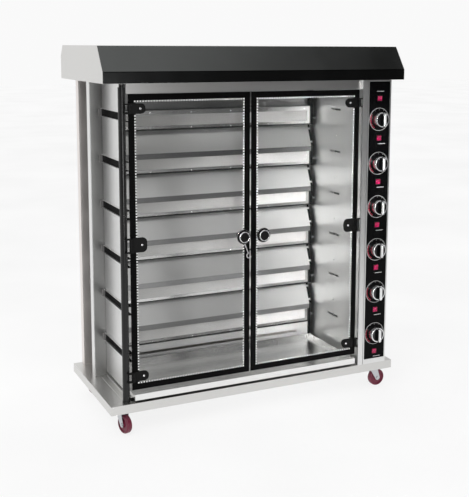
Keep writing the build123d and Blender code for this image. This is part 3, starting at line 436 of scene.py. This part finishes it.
def reflector_steel():
    """Bright reflector sheet, with painted shade on the lips and above the top burner, and a painted
    highlight on the foot panel.
    """
    shade = Shade("reflector_steel", (0.86, 0.86, 0.85))
    height = shade.axis("Z")
    lip_top = tier_levels[1] + LIP_RISE
    lip_band = shade.math("LESS_THAN", shade.above_tier(lip_top - LIP_HEIGHT), LIP_HEIGHT)
    below_first = shade.math("LESS_THAN", height, lip_top + 0.001)
    above_last = shade.math("GREATER_THAN", height, tier_levels[-1] - 0.02)
    # Painted shade on the lips, darker towards the top
    lip = shade.product(lip_band, below_first, above_last)
    clouds = shade.noise(3.0, 5.0, (1, 1, 1.6))
    sheet = shade.blend(shade.between(clouds, 0.1, 0.9), (0.78, 0.78, 0.77), (0.88, 0.88, 0.87))
    high_up = shade.between(height, tier_levels[-1], tier_levels[1])
    painted_lip_shade = shade.blend(high_up, (0.42, 0.42, 0.42), (0.18, 0.18, 0.18))
    # Painted highlight: the foot panel below the lowest burner is paler and less metallic; painted shade
    # above the top burner
    painted_foot_highlight = shade.math("LESS_THAN", height, housing_low.z)
    painted_crown_shade = shade.math("GREATER_THAN", height, housing_high.z)
    tone = shade.blend(painted_crown_shade, shade.blend(lip, sheet, painted_lip_shade), (0.25, 0.25, 0.25))
    shade.set("Base Color", shade.blend(painted_foot_highlight, tone, (0.93, 0.93, 0.92)))
    shade.set("Metallic", shade.between(painted_foot_highlight, 0.0, 1.0, 0.88, 0.4))
    shade.set("Roughness", shade.between(clouds, 0.1, 0.9, 0.26, 0.36))
    shade.bump(shade.noise(1.0, 4.0, ALONG_X), 0.02, GRAIN_DEPTH)
    return shade.material


def lit_red():
    """Translucent red switch lens, lit faintly from inside."""
    shade = Shade("switch_red", (0.4, 0.008, 0.07), Roughness=0.25, Emission_Strength=0.06)
    glow = shade.between(shade.noise(160.0, 3.0), 0.35, 0.65)
    shade.set("Base Color", shade.blend(glow, (0.22, 0.003, 0.035), (0.45, 0.014, 0.1)))
    shade.set("Emission Color", shade.blend(glow, (0.35, 0.002, 0.04), (0.9, 0.03, 0.18)))
    return shade.material


def tyre_red():
    """Dark red polyurethane with a fine moulded grain and dust on the tread."""
    shade = Shade("wheel_red", (0.13, 0.004, 0.027), Roughness=0.38)
    dust = shade.noise(90.0, 5.0)
    dusty = shade.between(dust, 0.5, 0.85)
    shade.set("Base Color", shade.blend(dusty, (0.12, 0.004, 0.024), (0.2, 0.03, 0.055)))
    shade.set("Roughness", shade.between(dust, 0.3, 0.8, 0.3, 0.6))
    shade.bump(dust, 0.08, 0.0004)
    return shade.material


steel = brushed("steel_brushed", (0.66, 0.655, 0.64), 0.34)
steel_upright = brushed("steel_upright", (0.76, 0.76, 0.755), 0.33, ALONG_Z)
steel_bright = brushed("steel_bright", (0.84, 0.84, 0.83), 0.22)
steel_wall = brushed("steel_wall", (0.82, 0.82, 0.81), 0.3, ALONG_Y, metal=0.85)
steel_dark = brushed("steel_dark", (0.3, 0.3, 0.3), 0.4)
steel_left = wall_steel()
steel_back = brushed("steel_back", (0.84, 0.8, 0.775), 0.5, ALONG_Z)
steel_header = brushed("steel_header", (0.45, 0.447, 0.44), 0.34)
steel_housing = housing_steel()
reflector = reflector_steel()
canopy_black = canopy_coat()
post_black = coated("post_black", (0.006, 0.006, 0.006), 0.28, gloss=0.35)
frame_black = coated("frame_black", (0.003, 0.003, 0.003), 0.6, gloss=0.04)
moulded_black = coated("moulded_black", (0.004, 0.004, 0.004), 0.36, 2200.0, 0.1, 0.12)
fascia_black = coated("fascia_gloss", (0.002, 0.002, 0.0022), 0.2, 900.0, 0.01, 0.06)
chrome = plated("chrome_bright", (0.8, 0.8, 0.81), 0.1, 0.02)
chrome_knob = knob_chrome()
zinc = plated("zinc_plate", (0.55, 0.56, 0.58), 0.26)
brass = plated("brass_plain", (0.72, 0.53, 0.24), 0.3)
cast_metal = coated("cast_grey", (0.3, 0.3, 0.3), 0.5, 700.0, 0.15)
door_glass = clear_glass()
ceramic = burner_ceramic()
red_lens = lit_red()
wheel_red = tyre_red()
frit_black = printed("frit_black", (0.002, 0.002, 0.002), 0.3, 0.05)
frit_pale = printed("frit_pale", (0.88, 0.88, 0.87))
print_white = printed("print_white", (0.8, 0.8, 0.8))
print_grey = printed("print_grey", (0.5, 0.5, 0.5))
print_red = printed("print_red", (0.3, 0.008, 0.03))

NODE_LOOKS = {
    "base_frame": steel,
    "castor_plates": zinc,
    "left_wall": steel_left,
    "right_wall": steel_wall,
    "back_panel": steel_back,
    "ceiling_panel": steel_wall,
    "header_rail": steel_header,
    "front_left_post": post_black,
    "right_post": steel_upright,
    "burner_housings": steel_housing,
    "burner_plaques": ceramic,
    "reflectors": reflector,
    "side_frames": frame_black,
    "control_box": steel_upright,
    "control_fascia": fascia_black,
    "spit_rests": frame_black,
    "switch_bodies": moulded_black,
    "gas_valves": brass,
    "gas_manifold": brass,
    "feed_pipes": zinc,
    "drive_motors": cast_metal,
    "drip_tray": steel_bright,
    "tray_runners": steel,
    "hinge_ears": moulded_black,
    "left_hinge_clamps": moulded_black,
    "right_hinge_clamps": moulded_black,
    "left_door_glass": door_glass,
    "right_door_glass": door_glass,
    "left_door_knob": moulded_black,
    "right_door_knob": moulded_black,
    "door_latch": chrome,
    "canopy_front": canopy_black,
    "canopy_shell": steel,
}
FAMILY_LOOKS = {
    "control_knob": chrome_knob,
    "rocker": red_lens,
    "spit_socket": steel_dark,
    "castor_fork": zinc,
    "castor_wheel": wheel_red,
}


def look_of(name):
    """Material of a node, by its own name or by its family's."""
    if name in NODE_LOOKS:
        return NODE_LOOKS[name]
    return next(look for family, look in FAMILY_LOOKS.items() if family in name)


for name, thing in nodes.items():
    for place in thing.material_slots:
        place.material = look_of(name)


def facing(direction, point):
    """Matrix that puts a local +Z feature at a point, turned to face a direction."""
    turn = Vector(direction).to_track_quat("Z", "Y").to_matrix().to_4x4()
    return Matrix.Translation(point) @ turn


def add_block(mesh, low, high, turn=Matrix.Identity(4)):
    """Box between two corners, moved by a matrix."""
    low, high = Vector(low), Vector(high)
    size = high - low
    matrix = turn @ Matrix.Translation((low + high) / 2) @ Matrix.Diagonal((*size, 1.0))
    bmesh.ops.create_cube(mesh, size=1.0, matrix=matrix)


def on_circle(radius, angle, height):
    """Point at a radius, angle and height round local Z."""
    return Vector((radius * cos(angle), radius * sin(angle), height))


def add_turned(mesh, profile, matrix, steps):
    """Closed solid turned about local Z from (radius, height) points."""
    rings = []
    for radius, height in profile:
        count = steps if radius else 1
        spots = [on_circle(radius, 2 * pi * step / steps, height) for step in range(count)]
        rings.append([mesh.verts.new(matrix @ spot) for spot in spots])
    for first, second in zip(rings, rings[1:] + rings[:1]):
        if len(first) == len(second) == 1:
            continue
        for step in range(steps):
            after = (step + 1) % steps
            corners = [first[step % len(first)], first[after % len(first)]]
            corners += [second[after % len(second)], second[step % len(second)]]
            mesh.faces.new(list(dict.fromkeys(corners)))


def add_ring(mesh, matrix, inner, outer, thickness, start=0.0, end=360.0, steps=KNOB_FACETS):
    """Flat ring or arc with a small thickness, its back on local Z = 0."""
    whole = end - start >= 360.0
    corners = ((inner, 0), (outer, 0), (outer, thickness), (inner, thickness))
    rows = []
    for step in range(steps if whole else steps + 1):
        angle = radians(start + (end - start) * step / steps)
        spots = [on_circle(radius, angle, height) for radius, height in corners]
        rows.append([mesh.verts.new(matrix @ spot) for spot in spots])
    pairs = list(zip(rows, rows[1:]))
    if whole:
        pairs.append((rows[-1], rows[0]))
    else:
        mesh.faces.new(rows[0])
        mesh.faces.new(rows[-1])
    for first, second in pairs:
        for side in range(4):
            after = (side + 1) % 4
            mesh.faces.new((first[side], second[side], second[after], first[after]))


def screw_profile(radius, height):
    """Domed screw head with a round socket."""
    return [
        (0, 0.45 * height),
        (0.34 * radius, 0.45 * height),
        (0.42 * radius, height),
        (0.78 * radius, 0.86 * height),
        (radius, 0.4 * height),
        (radius, 0),
        (0, 0),
    ]


def dome_profile(radius, height):
    """Low domed rivet head."""
    return [(0, height), (0.5 * radius, 0.9 * height), (0.85 * radius, 0.55 * height), (radius, 0), (0, 0)]


def bolt_profile(radius, height):
    """Bolt head with a chamfered edge."""
    return [(0, height), (0.875 * radius, height), (radius, 0.8 * height), (radius, 0), (0, 0)]


def add_screw(mesh, size, direction, point, steps=SCREW_FACETS):
    """Screw head at a point, facing a direction."""
    add_turned(mesh, screw_profile(*size), facing(direction, point), steps)


def piece(name, look, body, slot, fill, *details, smooth=False):
    """Mesh piece made by fill(mesh, *details), with its look, riding on a body; the slot is not used."""
    mesh = bmesh.new()
    fill(mesh, *details)
    bmesh.ops.recalc_face_normals(mesh, faces=mesh.faces[:])
    data = bpy.data.meshes.new(name)
    mesh.to_mesh(data)
    mesh.free()
    data.materials.append(look)
    for face in data.polygons:
        face.use_smooth = smooth
    made = bpy.data.objects.new(name, data)
    bpy.context.scene.collection.objects.link(made)
    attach(made, body)


# Black ceramic border printed on each door, edged inside with a row of pale teeth
def fill_border(mesh, side):
    low, high = node_box(f"{side}_door_glass")
    inner_left, inner_right = low.x + FRIT_WIDTH, high.x - FRIT_WIDTH
    edges = (
        ((low.x, low.z), (inner_left, high.z)),
        ((inner_right, low.z), (high.x, high.z)),
        ((inner_left, low.z), (inner_right, low.z + FRIT_WIDTH)),
        ((inner_left, high.z - FRIT_WIDTH), (inner_right, high.z)),
    )
    for (x0, z0), (x1, z1) in edges:
        add_block(mesh, (x0, low.y - PRINT, z0), (x1, low.y, z1))


def fill_teeth(mesh, side):
    low, high = node_box(f"{side}_door_glass")
    front = low.y - PRINT
    inset = FRIT_WIDTH - TOOTH_OVERLAP * FRIT_TOOTH
    left, right = low.x + inset, high.x - inset
    foot, top = low.z + inset, high.z - inset
    columns = int((right - left) / FRIT_PITCH)
    rows = int((top - foot) / FRIT_PITCH)
    spots = []
    for step in range(columns + 1):
        x = left + (right - left) * step / columns
        spots += [(x, foot), (x, top)]
    for step in range(1, rows):
        z = foot + (top - foot) * step / rows
        spots += [(left, z), (right, z)]
    half = FRIT_TOOTH / 2
    for x, z in spots:
        add_block(mesh, (x - half, front - PRINT, z - half), (x + half, front, z + half))


# Bright screws in the hinge clamps, front and rear
def fill_clamp_screws(mesh, side):
    low, high = node_box(f"{side}_hinge_clamps")
    x = high.x - CLAMP_SCREW_INSET if side == "left" else low.x + CLAMP_SCREW_INSET
    front = node_box(f"{side}_door_glass")[0].y - CLAMP_FRONT
    for z in (high.z - CLAMP_SCREW_LEVEL, (low.z + high.z) / 2, low.z + CLAMP_SCREW_LEVEL):
        add_screw(mesh, CLAMP_SCREW, FRONT, (x, front, z), CLAMP_SCREW_FACETS)
        add_screw(mesh, CLAMP_SCREW, BACK, (x, high.y, z), CLAMP_SCREW_FACETS)


# Black flange round the back of each door knob, and chrome rims on the knob and the flange
def door_knob_front(side):
    """Radius of a door knob's head and the matrix of its front."""
    low, high = node_box(f"{side}_door_knob")
    middle = centre(f"{side}_door_knob")
    return (high.x - low.x) / 2, facing(FRONT, (middle.x, low.y, middle.z))


def fill_knob_flange(mesh, side):
    radius, face = door_knob_front(side)
    flange = [
        (radius - KNOB_OVERLAP, FLANGE_BACK),
        (FLANGE_RADIUS - FLANGE_BACK_BEVEL, FLANGE_BACK),
        (FLANGE_RADIUS, FLANGE_BACK + FLANGE_BACK_BEVEL),
        (FLANGE_RADIUS, FLANGE_FRONT - FLANGE_FRONT_BEVEL),
        (FLANGE_RADIUS - FLANGE_FRONT_BEVEL, FLANGE_FRONT),
        (radius - KNOB_OVERLAP, FLANGE_FRONT + FLANGE_DOME),
    ]
    add_turned(mesh, flange, face, KNOB_FACETS)


def fill_knob_rim(mesh, side):
    radius, face = door_knob_front(side)
    rim = [
        (radius - KNOB_OVERLAP, RIM_BACK),
        (radius + KNOB_BAND, RIM_BACK + 0.0007),
        (radius + KNOB_BAND, RIM_FRONT - 0.0024),
        (radius - 0.0006, RIM_FRONT),
        (radius - 0.0024, RIM_FRONT),
        (radius - 0.003, RIM_FRONT - 0.0016),
    ]
    edge = [
        (FLANGE_RADIUS - 0.001, FLANGE_EDGE_BACK),
        (FLANGE_RADIUS + 0.0004, FLANGE_EDGE_BACK),
        (FLANGE_RADIUS + 0.0004, FLANGE_EDGE_FRONT - 0.0016),
        (FLANGE_RADIUS - 0.0008, FLANGE_EDGE_FRONT),
        (FLANGE_RADIUS - 0.0022, FLANGE_EDGE_FRONT),
    ]
    add_turned(mesh, rim, face, KNOB_FACETS)
    add_turned(mesh, edge, face, KNOB_FACETS)


for side in ("left", "right"):
    door = f"{side}_door"
    piece(f"{side}_door_frit", frit_black, door, "door_glass", fill_border, side)
    piece(f"{side}_door_teeth", frit_pale, door, "door_glass", fill_teeth, side)
    piece(f"{side}_clamp_screws", chrome, door, "knob_chrome", fill_clamp_screws, side, smooth=True)
    piece(f"{side}_knob_flange", moulded_black, door, "black_plastic", fill_knob_flange, side, smooth=True)
    piece(f"{side}_knob_rim", chrome, door, "knob_chrome", fill_knob_rim, side, smooth=True)

# Dials printed on the fascia: a pale outline, marks and a dotted red heat arc round each knob
fascia_front = node_box("control_fascia")[0].y
knob_centres = [centre(f"control_knob_{number}") for number in range(1, TIER_COUNT + 1)]
dial_faces = [facing(FRONT, (spot.x, fascia_front, spot.z)) for spot in knob_centres]


def fill_dial_outlines(mesh):
    for face in dial_faces:
        add_ring(mesh, face, DIAL_RADIUS - DIAL_LINE, DIAL_RADIUS, DIAL_LINE_HEIGHT)
        for step in range(TICK_COUNT):
            turn = face @ Matrix.Rotation(radians(FIRST_TICK + TICK_STEP * step), 4, "Z")
            length = SHORT_TICK if step % LONG_TICK_EVERY else LONG_TICK
            low = (TICK_OUTER - length, -TICK_WIDTH / 2, 0)
            high = (TICK_OUTER, TICK_WIDTH / 2, PRINT)
            add_block(mesh, low, high, turn)


def fill_heat_arcs(mesh):
    for face in dial_faces:
        for step in range(HEAT_DOTS):
            start = HEAT_START + HEAT_STEP * step
            add_ring(mesh, face, HEAT_INNER, HEAT_OUTER, PRINT, start, start + HEAT_DOT, HEAT_DOT_STEPS)


# Short plain label line above the first switch and below each of the others
def fill_labels(mesh):
    half = LABEL_WIDTH / 2
    for number in range(1, SWITCH_COUNT + 1):
        spot = centre(f"rocker_{number}")
        across, up = FIRST_LABEL_OFFSET if number == 1 else LABEL_OFFSET
        x, z = spot.x + across, spot.z + up
        add_block(mesh, (x - half, fascia_front - PRINT, z), (x + half, fascia_front, z + LABEL_HEIGHT))


piece("dial_outlines", print_grey, "cabinet", "fascia_black", fill_dial_outlines)
piece("dial_heat_arcs", print_red, "cabinet", "fascia_black", fill_heat_arcs)
piece("switch_labels", print_white, "cabinet", "fascia_black", fill_labels)


# White pointer let into the front of each control knob's grip, wide and long enough to be a painted highlight
# on the grip as well
def fill_pointer(mesh, number):
    front = node_box(f"control_knob_{number}")[0].y
    middle = knob_centres[number - 1]
    low = (middle.x - POINTER_HALF_WIDTH, front - PRINT, middle.z - POINTER_DROP)
    high = (middle.x + POINTER_HALF_WIDTH, front + POINTER_SINK, middle.z + POINTER_RISE)
    add_block(mesh, low, high)


for number in range(1, TIER_COUNT + 1):
    piece(f"knob_pointer_and_painted_highlight_{number}", print_white, f"knob_{number}", "knob_chrome", fill_pointer, number)


# Rivets along the top and the foot of each burner frame
def fill_rivets(mesh):
    left, right = housing_low.x + RIVET_MARGIN, housing_high.x - RIVET_MARGIN
    for tier in range(TIER_COUNT):
        top = housing_high.z - tier_pitch * tier
        for z in (top - FRAME_WIDTH / 2, top - BURNER_HEIGHT + FRAME_WIDTH / 2):
            for step in range(RIVETS_PER_ROW):
                x = left + (right - left) * step / (RIVETS_PER_ROW - 1)
                face = facing(FRONT, (x, housing_low.y, z))
                add_turned(mesh, dome_profile(*RIVET), face, RIVET_FACETS)


# Screws in the oven's right wall, the control column and the back panel, bolts in the castor plates
def fill_wall_screws(mesh):
    wall_face = node_box("right_wall")[0].x
    spit_y = centre("spit_socket_1").y
    for level in tier_levels[:-1]:
        add_screw(mesh, WALL_SCREW, LEFT, (wall_face, spit_y, level - WALL_SCREW_DROP))


def fill_outer_screws(mesh):
    column_low, column_high = node_box("control_box")
    back_low, back_high = node_box("back_panel")
    back_left, back_right = back_low.x + BACK_PANEL_INSET, back_high.x - BACK_PANEL_INSET
    foot, top = column_low.z + OUTER_SCREW_MARGIN, column_high.z - OUTER_SCREW_MARGIN
    for step in range(OUTER_SCREW_ROWS):
        z = foot + (top - foot) * step / (OUTER_SCREW_ROWS - 1)
        for y in (column_low.y + COLUMN_SIDE_INSET, column_high.y - COLUMN_SIDE_INSET):
            add_screw(mesh, OUTER_SCREW, RIGHT, (column_high.x, y, z))
        for x in (back_left, (back_left + back_right) / 2, back_right):
            add_screw(mesh, OUTER_SCREW, BACK, (x, back_low.y + BACK_PANEL_SHEET, z))
        for x in (column_low.x + COLUMN_BACK_INSET, column_high.x - COLUMN_BACK_INSET):
            add_screw(mesh, OUTER_SCREW, BACK, (x, column_high.y, z))


def fill_castor_bolts(mesh):
    low, high = node_box("castor_plates")
    under = high.z - PLATE_THICKNESS
    for plate_x in (low.x + PLATE_CENTRE, high.x - PLATE_CENTRE):
        for plate_y in (low.y + PLATE_CENTRE, high.y - PLATE_CENTRE):
            for x in (plate_x - BOLT_OFFSET, plate_x + BOLT_OFFSET):
                for y in (plate_y - BOLT_OFFSET, plate_y + BOLT_OFFSET):
                    add_turned(mesh, bolt_profile(*BOLT), facing(DOWN, (x, y, under)), BOLT_FACETS)


piece("burner_rivets", chrome, "cabinet", "bright_stainless", fill_rivets, smooth=True)
piece("wall_screws", chrome, "cabinet", "bright_stainless", fill_wall_screws, smooth=True)
piece("outer_screws", zinc, "cabinet", "stainless", fill_outer_screws, smooth=True)
piece("castor_bolts", zinc, "cabinet", "zinc", fill_castor_bolts)

# Floor: pale round the oven and behind it, dark far in front, where upright steel mirrors it
floor_shade = Shade("floor_pale", (0.15, 0.15, 0.15), Roughness=0.9, Specular_IOR_Level=0.1)
floor_near = floor_shade.between(floor_shade.axis("Y"), FLOOR_DARK_TO, FLOOR_PALE_FROM)
floor_tone = floor_shade.between(floor_shade.noise(0.8, 3.0), 0.3, 0.7, 0.97, 1.03)
floor_level = floor_shade.between(floor_near, 0.0, 1.0, FAR_FLOOR_GLOW, NEAR_FLOOR_GLOW)
floor_shade.set("Base Color", floor_shade.blend(floor_near, (0.04, 0.04, 0.04), (0.15, 0.15, 0.15)))
floor_shade.shader.inputs["Emission Color"].default_value = (1.0, 1.0, 1.0, 1.0)
floor_shade.set("Emission Strength", floor_shade.product(floor_level, floor_tone))
floor_shade.material.cycles.emission_sampling = "NONE"
bpy.ops.mesh.primitive_plane_add(size=FLOOR_SIZE, location=(0, 0, 0))
floor = bpy.context.object
floor.name = "floor"
floor.data.materials.append(floor_shade.material)

# Surroundings: pale behind and overhead, darker in front, so that the steel has something to show
world = bpy.data.worlds.new("studio")
bpy.context.scene.world = world
world.use_nodes = True
sky = world.node_tree
backdrop = sky.nodes["Background"]
heading = sky.nodes.new("ShaderNodeSeparateXYZ")
sky.links.new(sky.nodes.new("ShaderNodeTexCoord").outputs["Generated"], heading.inputs[0])


def sky_range(axis, low, high, to_low, to_high):
    """Grey level that follows one axis of the viewing direction."""
    made = sky.nodes.new("ShaderNodeMapRange")
    made.interpolation_type = "SMOOTHSTEP"
    sky.links.new(heading.outputs[axis], made.inputs["Value"])
    for key, value in (("From Min", low), ("From Max", high), ("To Min", to_low), ("To Max", to_high)):
        made.inputs[key].default_value = value
    return made.outputs["Result"]


shell = sky.nodes.new("ShaderNodeMix")
sky.links.new(sky_range("Z", 0.12, 0.7, 0.0, 1.0), shell.inputs[0])
sky.links.new(sky_range("Y", -0.75, 0.3, 0.06, 0.95), shell.inputs[2])
sky.links.new(sky_range("X", 0.28, 0.58, 0.95, 0.04), shell.inputs[3])
sky.links.new(shell.outputs[0], backdrop.inputs["Color"])
backdrop.inputs["Strength"].default_value = 1.0


def area_light(name, place, aim, size, watts, spread=180.0):
    """Soft rectangular light aimed at a point."""
    data = bpy.data.lights.new(name, "AREA")
    data.spread = radians(spread)
    data.shape = "RECTANGLE"
    data.size, data.size_y = size
    data.energy = watts
    lamp = bpy.data.objects.new(name, data)
    lamp.location = place
    lamp.rotation_euler = (Vector(aim) - Vector(place)).to_track_quat("-Z", "Y").to_euler()
    bpy.context.scene.collection.objects.link(lamp)


area_light("key", (-3.0, -2.6, 3.4), (0.0, 0.0, 0.7), (2.4, 1.8), 50.0)
area_light("low", (-0.5, -3.6, 0.75), (0.2, 0.1, 0.6), (0.9, 0.9), 32.0)
area_light("fill", (4.2, -1.6, 1.8), (0.2, 0.0, 0.7), (1.6, 2.0), 15.0)
area_light("beam", (-1.0, -3.3, 1.7), (0.4, 0.1, 0.94), (0.5, 0.5), 2.3, 17.0)
area_light("low_beam", (-1.0, -3.3, 1.2), (0.36, 0.2, 0.2), (0.4, 0.4), 0.6, 9.0)
area_light("top", (0.0, 0.4, 4.2), (0.0, 0.0, 0.0), (3.0, 2.4), 14.0)

# Camera
yaw, pitch, roll = radians(CAMERA_YAW), radians(CAMERA_PITCH), radians(CAMERA_ROLL)
ahead = Vector((sin(yaw) * cos(pitch), cos(yaw) * cos(pitch), -sin(pitch)))
level_right = ahead.cross(Vector((0, 0, 1))).normalized()
level_up = level_right.cross(ahead)
right = level_right * cos(roll) + level_up * sin(roll)
up = level_up * cos(roll) - level_right * sin(roll)
turn = Matrix((right, up, -ahead)).transposed()
longer_side = max(IMAGE_SIZE)
lens = bpy.data.cameras.new("camera")
lens.sensor_width = SENSOR_WIDTH
lens.lens = FOCAL_PIXELS * SENSOR_WIDTH / longer_side
lens.shift_x = (IMAGE_SIZE[0] / 2 - PRINCIPAL_POINT[0]) / longer_side
lens.shift_y = (PRINCIPAL_POINT[1] - IMAGE_SIZE[1] / 2) / longer_side
camera = bpy.data.objects.new("camera", lens)
camera.matrix_world = Matrix.Translation(CAMERA_PLACE) @ turn.to_4x4()
bpy.context.scene.collection.objects.link(camera)
bpy.context.scene.camera = camera
bpy.context.scene.view_settings.view_transform = "Standard"
